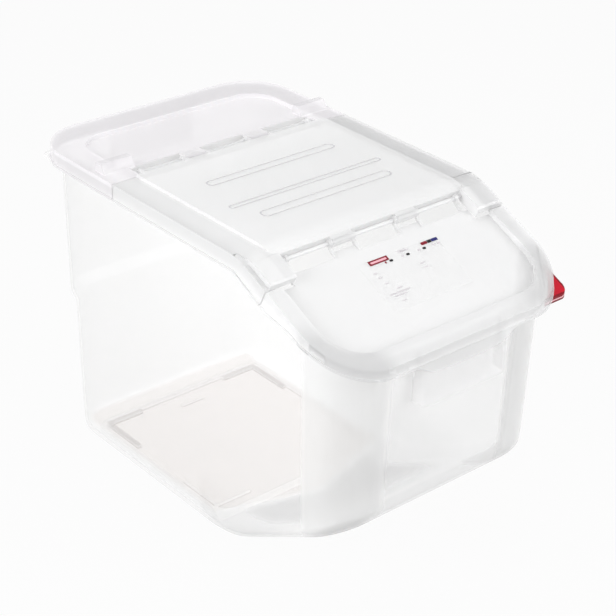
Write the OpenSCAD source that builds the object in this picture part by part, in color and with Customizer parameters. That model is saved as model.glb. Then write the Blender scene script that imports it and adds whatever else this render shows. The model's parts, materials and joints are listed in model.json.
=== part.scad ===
// Rice bin with a folding three-part lid: tub, fixed rear panel, middle panel and front flap.
// Front faces -Y, the bin stands on z = 0, and the origin is the centre of its footprint.

/* [Lid] */
// Width over the lid's outer edge
lid_w = 366; // [350:1:390]
// Length of the lid, front edge to rear edge
lid_l = 600; // [585:1:640]
// Height of the flat lid top
lid_z = 417; // [400:1:450]
// Horizontal run of the sloping lid front
slope_run = 178.5; // [172:0.5:190]
// Fall of the sloping lid front, in degrees
slope_deg = 24.4; // [22:0.1:27]
// Radius of the bend between the flat and the sloping lid
bend_r = 60; // [45:1:80]
// Radius of the lid's front corners
front_r = 75; // [65:1:80]
// Radius of the lid's rear corners
rear_r = 68; // [62:1:75]
// Thickness of the lid panels
lid_t = 2.6; // [2.2:0.1:3]
// Thickness of the lid's skirt
skirt_t = 2.4; // [2:0.1:2.6]
// Depth of the skirt along the flat lid
skirt_h = 21; // [19:0.5:24]
// Depth of the skirt at the front corners
front_skirt_h = 13.5; // [12:0.5:15]
// Depth of the lifting lip below the flap's front edge
lip_h = 27; // [23:0.5:29]
// Half width of the lifting lip at its bottom
lip_half = 46; // [35:1:55]

/* [Panels] */
// Height of the middle panel's plateau above the lid top
plateau_h = 4; // [3:0.5:5]
// Half width of the plateau
plateau_half = 148; // [145:0.5:152]
// Depth of the grooves in the plateau
groove_d = 1.2; // [0.6:0.1:1.4]
// Depth of the rear panel's sunk field
rear_sink = 6; // [4:0.5:7]
// Depth of the flap's sunk field
flap_sink = 8; // [6:0.5:8.5]
// Width of the flap's border beside the sunk field
flap_border = 22; // [21:0.5:25]
// Height of the stop blocks behind the rear hinge
stop_h = 12; // [9:0.5:13]
// Width of each stop block
stop_w = 45; // [36:1:48]

/* [Hinges] */
// Distance of the rear hinge axis from the lid's front edge
rear_axis_run = 436; // [425:1:445]
// Drop of the rear hinge axis below the lid top
rear_axis_drop = 5; // [4.5:0.1:5.5]
// Distance of the front hinge axis down the slope from the bend
front_axis_run = 21; // [20:0.5:22]
// Drop of the front hinge axis below the slope
front_axis_drop = 2; // [1.8:0.1:2.2]
// Radius of the hinge rods
rod_r = 2.5; // [2:0.1:2.7]
// Radial clearance of a rod in its bores
rod_clear = 0.06; // [0.03:0.01:0.1]
// Outer radius of the knuckles
knuckle_r = 4.5; // [4.3:0.1:4.6]
// Distance between the middles of the hinge windows
window_pitch = 99; // [95:0.5:100]
// Width of each hinge window
window_w = 69; // [62:0.5:70]
// Width of each hinge arm
arm_w = 4; // [3:0.5:5]

/* [Tub] */
// Gap from the lid's side edge line to the tub's side wall at the rim
side_inset = 12.5; // [12.5:0.5:14]
// Draft of the tub's side walls, in degrees
tub_draft = 1.25; // [0.8:0.05:1.5]
// Wall thickness of the tub
wall = 2.8; // [2.2:0.1:3.4]
// Gap from the lid's front edge line to the tub's front wall at the rim
front_inset = 16.5; // [15.5:0.5:18]
// Gap from the lid's rear edge line to the tub's rear wall at the rim
rear_inset = 12.5; // [12.5:0.5:14]
// Height where the slanted lower front begins
slant_z = 118; // [105:1:130]
// Angle of the slanted lower front above the floor, in degrees
slant_deg = 30; // [28:1:33]
// Radius between the slanted front and the floor
slant_r = 140; // [110:5:160]
// Radius of the edge between the walls and the floor
floor_r = 20; // [14:1:24]
// Height of the step in the rear wall
ledge_z = 206; // [180:1:230]
// Depth of the step in the rear wall
ledge_d = 17; // [12:0.5:20]
// Height of the standing ring and ribs under the floor
foot_h = 2; // [1.5:0.1:2.5]
// Width that the rim flange stands out from the wall
flange_w = 9.5; // [8.8:0.1:9.8]
// Depth of the rim flange's turned-down lip
flange_lip = 13.5; // [12:0.5:15]

/* [Grips and clip] */
// Half width of the grips under the rim
grip_half = 65; // [55:1:75]
// Depth of a grip below the lid's edge
grip_h = 66; // [58:1:72]
// Wall thickness of the grips
grip_t = 2.6; // [2.2:0.1:3]
// Length of the corner tab's sides beyond its corner radius
tab_leg = 30; // [24:1:34]
// Thickness of the corner tabs
tab_t = 2.4; // [2:0.1:3]
// Wall thickness of the colour clip
clip_t = 1.6; // [1.2:0.1:2]
// Clearance of the clip on its tab
clip_gap = 0.15; // [0.1:0.05:0.25]
// Width of the label
label_w = 122; // [90:1:140]
// Height of the label
label_l = 74; // [60:1:78]

/* [Hidden] */
$fn = 96;
// Gap between the lid's underside and the tub's rim
seat_gap = 0.3;
// How far a face lies inside the piece that it joins
tuck = 0.4;
// How far a cut runs past the face that it opens
cut = 1;
// How far side profiles run past the lid's ends, and cutting blocks above and below its top
over = 20;
deep = 150;

// Main lines of the lid
y_front = -lid_l / 2;
y_rear = lid_l / 2;
y_bend = y_front + slope_run;
slope_len = slope_run / cos(slope_deg);
tub_half = lid_w / 2 - side_inset;
tub_front_r = front_r - (side_inset + front_inset) / 2;
tub_rear_r = rear_r - rear_inset;
bend_y = y_bend + bend_r * tan(slope_deg / 2);
bend_steps = 8;

// Height of the lid's top surface, moved square to itself by off
function slope_z(y, off) = lid_z - (y_bend - y) * tan(slope_deg) + off / cos(slope_deg);
function top_z(y, off = 0) =
    y >= bend_y ? lid_z + off :
    y <= bend_y - (bend_r + off) * sin(slope_deg) ? slope_z(y, off) :
    lid_z - bend_r + sqrt(pow(bend_r + off, 2) - pow(y - bend_y, 2));
function top_line(off) = concat(
    [[y_front - over, slope_z(y_front - over, off)]],
    [for (i = [bend_steps : -1 : 0]) let (a = slope_deg * i / bend_steps)
        [bend_y - (bend_r + off) * sin(a), lid_z - bend_r + (bend_r + off) * cos(a)]],
    [[y_rear + over, lid_z + off]]);
function flip(pts) = [for (i = [len(pts) - 1 : -1 : 0]) pts[i]];

// A side profile in (y, z), drawn out from x0 to x1
module across(x0, x1, pts) {
    translate([x0, 0, 0]) rotate([90, 0, 90]) linear_extrude(x1 - x0) polygon(pts);
}
// A band that follows the lid's top surface, between two offsets
module band(x0, x1, lower, upper) {
    across(x0, x1, concat(top_line(lower), flip(top_line(upper))));
}
// A plan outline with its own front and rear corner radii
module plan(half, y0, y1, r0, r1) {
    translate([-half, y0 + r0]) square([2 * half, y1 - y0 - r0 - r1]);
    translate([-(half - r0), y0]) square([2 * (half - r0), r0 + cut]);
    translate([-(half - r1), y1 - r1 - cut]) square([2 * (half - r1), r1 + cut]);
    for (s = [-1, 1]) {
        translate([s * (half - r0), y0 + r0]) circle(r0);
        translate([s * (half - r1), y1 - r1]) circle(r1);
    }
}
module lid_plan(inset) {
    plan(lid_w / 2 - inset, y_front + inset, y_rear - inset, front_r - inset, rear_r - inset);
}
// The frame of the sloping lid front: origin on the bend line, +Y up the slope
module on_slope() {
    translate([0, y_bend, lid_z]) rotate([slope_deg, 0, 0]) children();
}
// A box between two corners
module block(a, b) {
    translate(a) cube(b - a);
}

// Hinges: each has its own frame, with the axis along X through the origin
module at_rear_axis() {
    translate([0, y_front + rear_axis_run, lid_z - rear_axis_drop]) children();
}
module at_front_axis() {
    on_slope() translate([0, -front_axis_run, -front_axis_drop]) children();
}
tongue_x = window_pitch / 2;
tongue_w = window_pitch - window_w;
tongue_r = knuckle_r + 1;
side_gap = 0.4;
end_w = 6.5;
cheek_x = window_pitch + window_w / 2 + end_w;
rod_half = cheek_x - 0.5;
arm_xs = [for (m = [-1, 0, 1], e = [-1, 1]) m * window_pitch + e * ((window_w - arm_w) / 2 - side_gap)];
hinge_wall = 2;
// Distances of the panels' edges from the rear axis: ahead of it and behind it
rear_edge = 18;
rear_lap = 1.5;
rear_window = 10;
// Distances from the front axis: the flap's edge in a window, its edge at a tongue, and behind the axis
front_edge = 17.5;
tongue_edge = 9;
front_window = 5;
horn_run = 31;
horn_lap = 2;
horn_h = 7;

module barrel(x, w, r) {
    translate([x - w / 2, 0, 0]) rotate([0, 90, 0]) cylinder(h = w, r = r);
}
module rod_bore() {
    barrel(0, 2 * rod_half + 2, rod_r + rod_clear);
}
module rod() {
    barrel(0, 2 * rod_half, rod_r);
}

// ---------------------------------------------------------------- lid shell
lip_y = 3;
lip_ramp = 45;
skirt_sag = 5;
function under_top(y, drop) = [y, top_z(y) - drop];
// Bottom line of the skirt seen from the side
skirt_line = [
    [y_rear + over, lid_z - skirt_h],
    [y_bend + slope_run * 0.045, lid_z - skirt_h],
    under_top(y_bend - slope_run * 0.123, skirt_h + skirt_sag),
    under_top(y_bend - slope_run * 0.32, skirt_h + skirt_sag * 0.7),
    under_top(y_bend - slope_run * 0.476, front_skirt_h + skirt_sag * 0.6),
    under_top(y_bend - slope_run * 0.667, front_skirt_h),
    under_top(y_front - over, front_skirt_h)];
bead_h = 3;
bead_w = 1.5;

// Raises a plan outline through the lid's whole height
module tall() {
    translate([0, 0, lid_z - deep]) linear_extrude(deep + over) children();
}
// The lid as one cap: panel, skirt and the bead along the skirt's foot
module cap() {
    difference() {
        intersection() {
            tall() lid_plan(0);
            across(-lid_w, lid_w, concat(top_line(0), skirt_line));
        }
        intersection() {
            tall() lid_plan(skirt_t);
            across(-lid_w, lid_w, concat(top_line(-lid_t), [[y_rear + over, 0], [y_front - over, 0]]));
        }
    }
    difference() {
        intersection() {
            tall() lid_plan(-bead_w);
            across(-lid_w, lid_w, concat([for (p = skirt_line) p + [0, tuck / 4]],
                [for (p = flip(skirt_line)) p + [0, bead_h]]));
        }
        translate([0, 0, -cut]) tall() lid_plan(skirt_t / 2);
    }
}
// Everything between two side profiles, for cutting the cap into its panels
module rear_zone() {
    at_rear_axis() {
        block([-lid_w, rear_window, -deep], [lid_w, lid_l, deep]);
        for (s = [0, 1]) mirror([s, 0, 0])
            block([cheek_x, -rear_edge + rear_lap, -deep], [lid_w, rear_window + cut, deep]);
    }
}
module front_zone() {
    half = cheek_x - 2 * side_gap;
    at_front_axis() {
        block([-lid_w, -lid_l, -deep], [lid_w, -horn_run - horn_lap, deep]);
        block([-half, -horn_run - horn_lap - cut, -deep], [half, -front_edge, deep]);
        for (s = [-1, 1])
            block([s * tongue_x - tongue_w / 2, -front_edge - cut, -deep],
                  [s * tongue_x + tongue_w / 2, -tongue_edge, deep]);
    }
}
module horn_zone() {
    at_front_axis() for (s = [0, 1]) mirror([s, 0, 0])
        block([cheek_x, -horn_run, -deep], [lid_w, front_window + cut, deep]);
}
module plateau_zone() {
    at_rear_axis() block([-lid_w, y_bend - y_front - rear_axis_run, -deep], [lid_w, -rear_edge, deep]);
    at_front_axis() block([-lid_w, front_window, -deep], [lid_w, front_axis_run + over, deep]);
}

// ---------------------------------------------------------------- rear panel
field_side = 33;
field_rear = 45;
field_gap = 6;
field_y0 = y_front + rear_axis_run + rear_window + field_gap + lid_t;
field_y1 = y_rear - field_rear;
field_r = 0.4 * (field_y1 - field_y0);
field_front_r = 4;
module rear_lid() {
    color([0.93, 0.94, 0.95]) difference() {
        union() {
            difference() {
                intersection() { cap(); rear_zone(); }
                rear_field(0, -rear_sink - lid_t - cut, over);
            }
            difference() {
                rear_field(-lid_t, -rear_sink - lid_t, -tuck);
                rear_field(0, -rear_sink, over);
            }
            at_rear_axis() for (s = [-1, 1]) {
                barrel(s * tongue_x, tongue_w, tongue_r);
                block([s * tongue_x - tongue_w / 2, 0, rear_axis_drop - lid_t + tuck / 2],
                      [s * tongue_x + tongue_w / 2, rear_window + cut, rear_axis_drop - tuck / 4]);
            }
            at_rear_axis() block([-cheek_x - tuck, rear_window + tuck / 2, -knuckle_r],
                [cheek_x + tuck, rear_window + hinge_wall, rear_axis_drop - tuck]);
            for (s = [0, 1]) mirror([s, 0, 0]) {
                stop_block();
                rear_cheek();
                snap_ledge();
                rear_snap_ledge();
            }
        }
        at_rear_axis() rod_bore();
    }
}
// The sunk field of the rear panel, between two levels measured from the lid top
module rear_field(grow, low, high) {
    translate([0, 0, lid_z + low]) linear_extrude(high - low)
        plan(lid_w / 2 - field_side - lid_t - grow, field_y0 + grow, field_y1 - grow,
             field_front_r, field_r);
}
// Block that the opened middle panel comes to rest on
stop_side = 7;
stop_y = 16;
stop_l = 10;
module stop_block() {
    x1 = lid_w / 2 - stop_side;
    z0 = rear_axis_drop - cut;
    z1 = rear_axis_drop + stop_h;
    at_rear_axis() across(x1 - stop_w, x1, [
        [stop_y - stop_h * 0.7, z0], [stop_y, z1], [stop_y + stop_l, z1],
        [stop_y + stop_l + stop_h * 0.18, z0]]);
}
// Wall beside the rod's end
cheek_low = 6;
module rear_cheek() {
    at_rear_axis() block([cheek_x, -rear_edge + rear_lap + tuck, -cheek_low],
        [cheek_x + lid_t, rear_window + 2 * hinge_wall, rear_axis_drop - tuck]);
}
// Ledges inside the skirt that hook under the rim flange's lip
snap_y = y_front + rear_axis_run + rear_window + field_gap;
snap_len = y_rear - rear_r - cut - snap_y;
rear_snap_len = 30;
snap_top = -lid_t - seat_gap - flange_lip - tuck;
snap_side = 8;
snap_profile = [[-1, -1.8], [0.6, -1.8], [1.4, -0.4], [1.4, 0], [-1, 0]];
module snap_ledge() {
    translate([lid_w / 2 - skirt_t, snap_y, lid_z + snap_top])
        mirror([1, 0, 0]) rotate([90, 0, 0]) mirror([0, 0, 1]) linear_extrude(snap_len)
        polygon(snap_profile);
}
module rear_snap_ledge() {
    translate([0, y_rear - skirt_t, lid_z + snap_top]) mirror([0, 1, 0])
        across(grip_half + snap_side, grip_half + snap_side + rear_snap_len, snap_profile);
}

// ---------------------------------------------------------------- middle panel
// Grooves: share of the panel's length from the bend, share of the plateau's width, and width
grooves = [[0.643, 0.669, 15], [0.386, 0.794, 10], [0.243, 0.676, 17]];
groove_line = 2.5;
module middle_lid() {
    color([0.95, 0.95, 0.96]) difference() {
        union() {
            intersection() {
                difference() {
                    horned_cap();
                    band(-plateau_half + lid_t / 2, plateau_half - lid_t / 2, -lid_t - cut, over);
                }
                plateau_zone();
            }
            intersection() { horned_cap(); horn_zone(); }
            intersection() { plateau(); plateau_zone(); }
            plateau_walls();
            front_cheeks();
            middle_arms();
            front_tongues();
        }
        at_rear_axis() rod_bore();
        at_front_axis() rod_bore();
    }
}
module horned_cap() {
    difference() {
        union() { cap(); horns(0); }
        horns(lid_t);
    }
}
// Raised field with walls down to the border
module plateau() {
    difference() {
        band(-plateau_half, plateau_half, -lid_t, plateau_h);
        band(-plateau_half + lid_t, plateau_half - lid_t, -lid_t - cut, plateau_h - lid_t);
        for (g = grooves)
            groove(y_bend + g[0] * (rear_axis_run - slope_run), g[1] * 2 * plateau_half, g[2]);
    }
}
// Walls that close the plateau at the two hinges
module plateau_walls() {
    at_rear_axis() block([-plateau_half + tuck, -rear_edge - lid_t, rear_axis_drop - lid_t - tuck],
        [plateau_half - tuck, -rear_edge - tuck / 2, rear_axis_drop + plateau_h - tuck]);
    at_front_axis() block([-cheek_x - tuck, front_window + tuck / 2, -knuckle_r],
        [cheek_x + tuck, front_window + hinge_wall, front_axis_drop + plateau_h - tuck]);
}
// Walls beside the ends of the front rod
module front_cheeks() {
    at_front_axis() for (s = [0, 1]) mirror([s, 0, 0])
        block([cheek_x + tuck / 2, -horn_run + tuck, -cheek_low],
              [cheek_x + lid_t - tuck / 2, front_window + hinge_wall - tuck, front_axis_drop - tuck]);
}
module groove(y, l, w) {
    translate([0, y, lid_z + plateau_h - groove_d]) linear_extrude(over) difference() {
        stadium(l, w);
        stadium(l - 2 * groove_line, w - 2 * groove_line);
    }
}
module stadium(l, w) {
    square([l - w, w], center = true);
    for (s = [-1, 1]) translate([s * (l - w) / 2, 0]) circle(w / 2);
}
// Raised side corners that reach forward past the front hinge
horn_side = 6;
horn_end = 8;
horn_ease = 3;
module horns(inset) {
    x1 = lid_w / 2 - horn_side;
    on_slope() for (s = [0, 1]) mirror([s, 0, 0])
        across(cheek_x + inset, x1 - inset, horn_profile(inset));
}
function horn_profile(inset) =
    let (rise = horn_h - inset, y0 = -front_axis_run - horn_run + inset,
         end_z = -horn_end * tan(slope_deg), base = -lid_t - (inset > 0 ? 2 * cut : -tuck))
    [[y0, -lid_t - (inset > 0 ? cut : -tuck)], [y0, rise - horn_ease * 0.7], [y0 + horn_ease, rise],
     [-horn_h / tan(slope_deg) - cut, rise],
     [horn_end, end_z - inset], [horn_end, end_z + base], [0, base]];
module middle_arms() {
    at_rear_axis() for (x = arm_xs) {
        barrel(x, arm_w, knuckle_r);
        across(x - arm_w / 2, x + arm_w / 2, [
            [-rear_edge - lid_t / 2, rear_axis_drop + plateau_h - lid_t],
            [-rear_edge - lid_t / 2, rear_axis_drop - lid_t],
            [-knuckle_r * 1.3, -knuckle_r * 0.8], [0, -knuckle_r + tuck], [0, knuckle_r - tuck],
            [-rear_edge, rear_axis_drop + cut]]);
    }
}
module front_tongues() {
    at_front_axis() for (s = [-1, 1]) {
        barrel(s * tongue_x, tongue_w, tongue_r);
        across(s * tongue_x - tongue_w / 2, s * tongue_x + tongue_w / 2, [
            [front_window + 2 * hinge_wall, front_axis_drop + plateau_h - tuck / 4],
            [cut, tongue_r], [0, 0], [front_window - cut, front_axis_drop],
            [front_window + 2 * hinge_wall, front_axis_drop + plateau_h - lid_t + tuck]]);
    }
}

// ---------------------------------------------------------------- front flap
module front_flap() {
    color([0.95, 0.95, 0.97]) difference() {
        union() {
            difference() {
                intersection() { union() { cap(); lifting_lip(); } front_zone(); }
                flap_field(0, -flap_sink - lid_t - cut, over);
            }
            intersection() {
                difference() {
                    flap_field(-lid_t, -flap_sink - lid_t, -tuck);
                    flap_field(0, -flap_sink, over);
                }
                front_zone();
            }
            flap_arms();
        }
        at_front_axis() rod_bore();
    }
}
// The sunk field of the flap, between two levels measured from the slope
module flap_field(grow, low, high) {
    half = lid_w / 2 - flap_border - grow;
    y0 = -slope_len + flap_border + front_skirt_h * 0.22 + grow;
    on_slope() translate([0, 0, low]) linear_extrude(high - low)
        plan(half, y0, 0, front_r - flap_border - grow, field_front_r);
}
// Lip under the front edge, with its lower corners eased
lip_ease = 4;
function lip_edge(s, z0, zs, z1) = [
    [s * lip_half * 0.5, z1], [s * lip_half, z1 + lip_ease * 0.15],
    [s * (lip_half + lip_ramp * 0.25), z1 + lip_ease * 0.75],
    [s * (lip_half + lip_ramp * 0.6), zs - lip_ease], [s * (lip_half + lip_ramp), zs],
    [s * (lip_half + lip_ramp), z0]];
module lifting_lip() {
    z0 = slope_z(y_front, 0);
    z1 = z0 - lip_h;
    zs = z0 - front_skirt_h + 2;
    intersection() {
        across(-lid_w, lid_w, [
            [y_front, z0 - lip_ease], [y_front - lip_y, z1], [y_front - lip_y + skirt_t, z1],
            [y_front + skirt_t, z0 - lip_ease]]);
        translate([0, y_front + over, 0]) rotate([90, 0, 0]) linear_extrude(2 * over)
            polygon(concat(lip_edge(1, z0, zs, z1), flip(lip_edge(-1, z0, zs, z1))));
    }
}
module flap_arms() {
    at_front_axis() for (x = arm_xs) {
        barrel(x, arm_w, knuckle_r);
        across(x - arm_w / 2, x + arm_w / 2, [
            [-front_edge - 2, front_axis_drop - flap_sink - lid_t + tuck],
            [-front_edge - 2, front_axis_drop - flap_sink - tuck / 2],
            [-knuckle_r * 0.93, -knuckle_r * 0.62], [0, 0], [knuckle_r * 0.44, -knuckle_r * 0.88],
            [-knuckle_r * 0.22, -knuckle_r * 0.97], [-knuckle_r * 1.8, -knuckle_r * 1.8]]);
    }
}

// ---------------------------------------------------------------- rods
module rear_hinge_rod() {
    color([0.9, 0.9, 0.92]) at_rear_axis() rod();
}
module front_hinge_rod() {
    color([0.9, 0.9, 0.92]) at_front_axis() rod();
}

// ---------------------------------------------------------------- tub
rim_off = -lid_t - seat_gap;
corner_steps = 8;
floor_t = 3;
rear_draft = 0.5;
low_front = y_front + front_inset + (lid_z - slope_run * tan(slope_deg) - slant_z) * tan(tub_draft);
slant_top = slant_z - slant_r * (1 - cos(slant_deg));
slant_end = low_front + slant_top / tan(slant_deg) + slant_r * sin(slant_deg);

// Height of the tub's underside at y, moved up square to itself by t
function under_z(y, t) =
    let (r = slant_r - t)
    y >= slant_end ? t :
    y > slant_end - r * sin(slant_deg) ? slant_r - sqrt(r * r - pow(slant_end - y, 2)) :
    slant_r - r * cos(slant_deg) + (slant_end - r * sin(slant_deg) - y) * tan(slant_deg);
function inside_z(y) = max(under_z(y, wall), foot_h + floor_t);

// Points of the rim's outline: x, y, outward normal, and 1 where the rear step moves it
side_marks = concat(
    [for (i = [4 : -1 : 0]) bend_y - bend_r * sin(slope_deg * i / 4)],
    [for (i = [5 : -1 : 0]) slant_end - slant_r * sin(slant_deg * i / 5)]);
function corner(cx, cy, r, a0, rear) = [for (i = [0 : corner_steps])
    let (a = a0 + 90 * i / corner_steps) [cx + r * cos(a), cy + r * sin(a), cos(a), sin(a), rear]];
rim_y0 = y_front + front_inset;
rim_y1 = y_rear - rear_inset;
outline = concat(
    corner(tub_half - tub_front_r, rim_y0 + tub_front_r, tub_front_r, -90, 0),
    [for (y = side_marks) [tub_half, y, 1, 0, 0]],
    corner(tub_half - tub_rear_r, rim_y1 - tub_rear_r, tub_rear_r, 0, 1),
    corner(-tub_half + tub_rear_r, rim_y1 - tub_rear_r, tub_rear_r, 90, 1),
    [for (y = flip(side_marks)) [-tub_half, y, -1, 0, 0]],
    corner(-tub_half + tub_front_r, rim_y0 + tub_front_r, tub_front_r, 180, 0));
ring_n = len(outline);

// Draft of the walls, and the step in the rear wall
function draw_in(z) = (lid_z - z) * tan(tub_draft);
function rear_step(z) = (z < ledge_z ? ledge_d : 0)
    - (lid_z - z) * (tan(tub_draft) - tan(rear_draft));
function set_out(p, u, z, step_z) =
    [p[0] + u * p[2], p[1] + u * p[3] - p[4] * rear_step(step_z), z];
// A level ring at height z, and a ring along the rim and along the underside
function wall_ring(z, t, step_z) = [for (p = outline) set_out(p, -draw_in(z) - t, z, step_z)];
function rim_ring(u, v) = [for (p = outline)
    let (z = top_z(p[1] + u * p[3], rim_off) - v)
    set_out(p, u - draw_in(z) * abs(p[2]), z, lid_z)];
function base_ring(a, t) = [for (p = outline)
    let (r = floor_r - t, rough = under_z(p[1], 0),
         q = set_out(p, -draw_in(rough) - t - r * (1 - sin(a)), 0, 0),
         z = (t > 0 ? inside_z(q[1]) : under_z(q[1], 0)) + r * (1 - cos(a)))
    [q[0], q[1], z]];
base_angles = [0, 18, 36, 54, 72, 90];
low_z = slant_z + floor_r * 1.6;
ledge_ramp = 6;
ledge_up = wall * 0.8;
tub_rings = concat(
    [for (a = base_angles) base_ring(a, 0)],
    [wall_ring(low_z, 0, 0), wall_ring(ledge_z - ledge_ramp, 0, 0),
     wall_ring(ledge_z + ledge_ramp, 0, lid_z)],
    [rim_ring(0, wall), rim_ring(flange_w - wall, wall), rim_ring(flange_w - wall, flange_lip),
     rim_ring(flange_w, flange_lip), rim_ring(flange_w, 0), rim_ring(-wall, 0)],
    [wall_ring(ledge_z + ledge_ramp + ledge_up, wall, lid_z),
     wall_ring(ledge_z - ledge_ramp + ledge_up, wall, 0), wall_ring(low_z, wall, 0)],
    [for (a = flip(base_angles)) base_ring(a, wall)]);

// Strips that close a base ring from its left side to its right side
half_n = ring_n / 2;
function strip(k, i) = [k + i, k + i + 1, k + ring_n - 2 - i, k + ring_n - 1 - i];
module tub_shell() {
    n = ring_n;
    rows = len(tub_rings);
    pts = [for (r = tub_rings, p = r) p];
    faces = concat(
        [for (i = [0 : half_n - 2]) strip(0, i)],
        [for (k = [0 : rows - 2], i = [0 : n - 1])
            [k * n + i, (k + 1) * n + i, k * n + (i + 1) % n]],
        [for (k = [0 : rows - 2], i = [0 : n - 1])
            [(k + 1) * n + i, (k + 1) * n + (i + 1) % n, k * n + (i + 1) % n]],
        [for (i = [0 : half_n - 2]) flip(strip((rows - 1) * n, i))]);
    polyhedron(pts, faces, convexity = 8);
}
// Hollow under the floor, round which the standing ring stays, with its ribs
ring_w = 13;
rib_w = 6;
rib_x = 124.5;
rib_y = y_rear - 69;
module floor_hollow() {
    half = tub_half - draw_in(0) - floor_r - ring_w;
    translate([0, 0, -cut]) linear_extrude(cut + foot_h) difference() {
        plan(half, slant_end + ring_w, rim_y1 - rear_step(0) - draw_in(0) - floor_r - ring_w, 24, 22);
        floor_ribs();
    }
}
module floor_ribs() {
    for (s = [0, 1]) mirror([s, 0, 0]) {
        translate([rib_x - 54, rib_y - rib_w / 2]) square([57, rib_w]);
        translate([rib_x - rib_w / 2, rib_y - 71]) square([rib_w, 72]);
        translate([rib_x - 54, slant_end + ring_w + 12]) square([57, rib_w]);
        translate([rib_x - rib_w / 2, slant_end + ring_w + 12]) square([rib_w, 71]);
    }
    translate([-18, rib_y - 24]) square([36, rib_w]);
}
// Pull grip: a pocket open below, under the rim. The lid's edge line is y = 0, outwards is -Y.
grip_out = 3;
grip_in = 4.4;
grip_low = 0.5;
module grip(inset, z_edge, z_wall) {
    z0 = z_edge - grip_h;
    end = inset + wall / 2;
    difference() {
        intersection() {
            across(-grip_half, grip_half, [
                [end, z0], [-grip_out, z0], [grip_in, z_edge - 12], [grip_in, z_edge], [end, z_wall]]);
            translate([0, 0, z0 - cut]) linear_extrude(grip_h + 20)
                plan(grip_half, -grip_out, end, 7, 0.2);
        }
        intersection() {
            across(-grip_half + grip_t, grip_half - grip_t, [
                [end + 9, z0 - cut], [-grip_out + grip_t - 0.1, z0 - cut],
                [grip_in + grip_t, z_edge - 12], [grip_in + grip_t, z_edge - grip_t],
                [end + 9, z_wall - grip_t]]);
            translate([0, 0, z0 - cut]) linear_extrude(grip_h + 20)
                plan(grip_half - grip_t, -grip_out + grip_t - 0.1, end + 9, 4.4, 0.2);
        }
    }
}
module front_grip() {
    translate([0, y_front, 0])
        grip(front_inset, top_z(y_front + grip_in, rim_off) - grip_low,
             top_z(y_front + front_inset, rim_off) - grip_low);
}
module rear_grip() {
    translate([0, y_rear, 0]) mirror([0, 1, 0])
        grip(rear_inset, lid_z + rim_off - grip_low, lid_z + rim_off - grip_low);
}
// Corner tabs for a colour clip: each fills a rim corner under the skirt
clip_corner = [lid_w / 2 - 3, y_front + 12.4];
bare_corner = [lid_w / 2 - 9, y_rear - 8.5];
tab_r = 13;
tab_low = 0.6;
clip_top = -(front_skirt_h * cos(slope_deg) + tab_low);
clip_tab_top = clip_top - clip_t - clip_gap;
bare_tab_top = -(skirt_h + tab_low);
module corner_square(at, out, side) {
    x1 = at[0] - out;
    y1 = at[1] + side * out;
    r = tab_r - out;
    l = tab_leg + tab_r - out;
    translate([x1 - l, side > 0 ? y1 + r : y1 - l]) square([l, l - r]);
    translate([x1 - l, side > 0 ? y1 : y1 - r]) square([l - r, r]);
    translate([x1 - r, y1 + side * r]) circle(r);
}
module tab(at, out, side, top) {
    intersection() {
        band(0, lid_w, top - tab_t, top);
        translate([0, 0, lid_z - 150]) linear_extrude(150) difference() {
            corner_square(at, out, side);
            wall_plan(wall / 2);
        }
    }
}
// The tub's outline at the rim, drawn in by t
module wall_plan(t) {
    half = tub_half - t - 1;
    plan(half, rim_y0 + t, rim_y1 - t, tub_front_r - t, tub_rear_r - t);
}
module bin_body() {
    color([0.9, 0.92, 0.95, 0.6]) difference() {
        union() {
            tub_shell();
            front_grip();
            rear_grip();
            tab(clip_corner, clip_t + clip_gap, 1, clip_tab_top);
            mirror([1, 0, 0]) tab(bare_corner, 0, -1, bare_tab_top);
        }
        floor_hollow();
    }
}

// ---------------------------------------------------------------- colour clip and label
module colour_clip() {
    color([0.8, 0.05, 0.08]) difference() {
        intersection() {
            band(0, lid_w, clip_tab_top - tab_t - clip_gap - clip_t, clip_top);
            translate([0, 0, lid_z - 150]) linear_extrude(150) difference() {
                corner_square(clip_corner, 0, 1);
                clip_inside();
            }
        }
        intersection() {
            band(0, lid_w, clip_tab_top - tab_t - clip_gap, clip_tab_top + clip_gap);
            translate([0, 0, lid_z - 150]) linear_extrude(150)
                corner_square(clip_corner, clip_t, 1);
        }
    }
}
// The clip's inner edge keeps clear of the tub's flange lip
module clip_inside() {
    out = flange_w + 0.6;
    half = tub_half + out - 1;
    plan(half, rim_y0 - out, rim_y1, tub_front_r + out, 20);
}
label_side = 8;
label_t = 0.25;
label_lift = 0.05;
label_up = 12;
label_r = 4;
label_y = (flap_border - slope_len - front_axis_run - front_edge - label_l) / 2 + label_up;
module label() {
    color([0.97, 0.97, 0.98]) on_slope()
        translate([label_side, label_y, -flap_sink + label_lift]) linear_extrude(label_t)
        plan(label_w / 2, 0, label_l, label_r, label_r);
}

bin_body();
rear_lid();
middle_lid();
front_flap();
rear_hinge_rod();
front_hinge_rod();
colour_clip();
label();
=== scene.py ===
"""Dresses the rice bin with a flip lid: milky tub, three-part lid, hinge rods, colour clip and label."""

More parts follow.
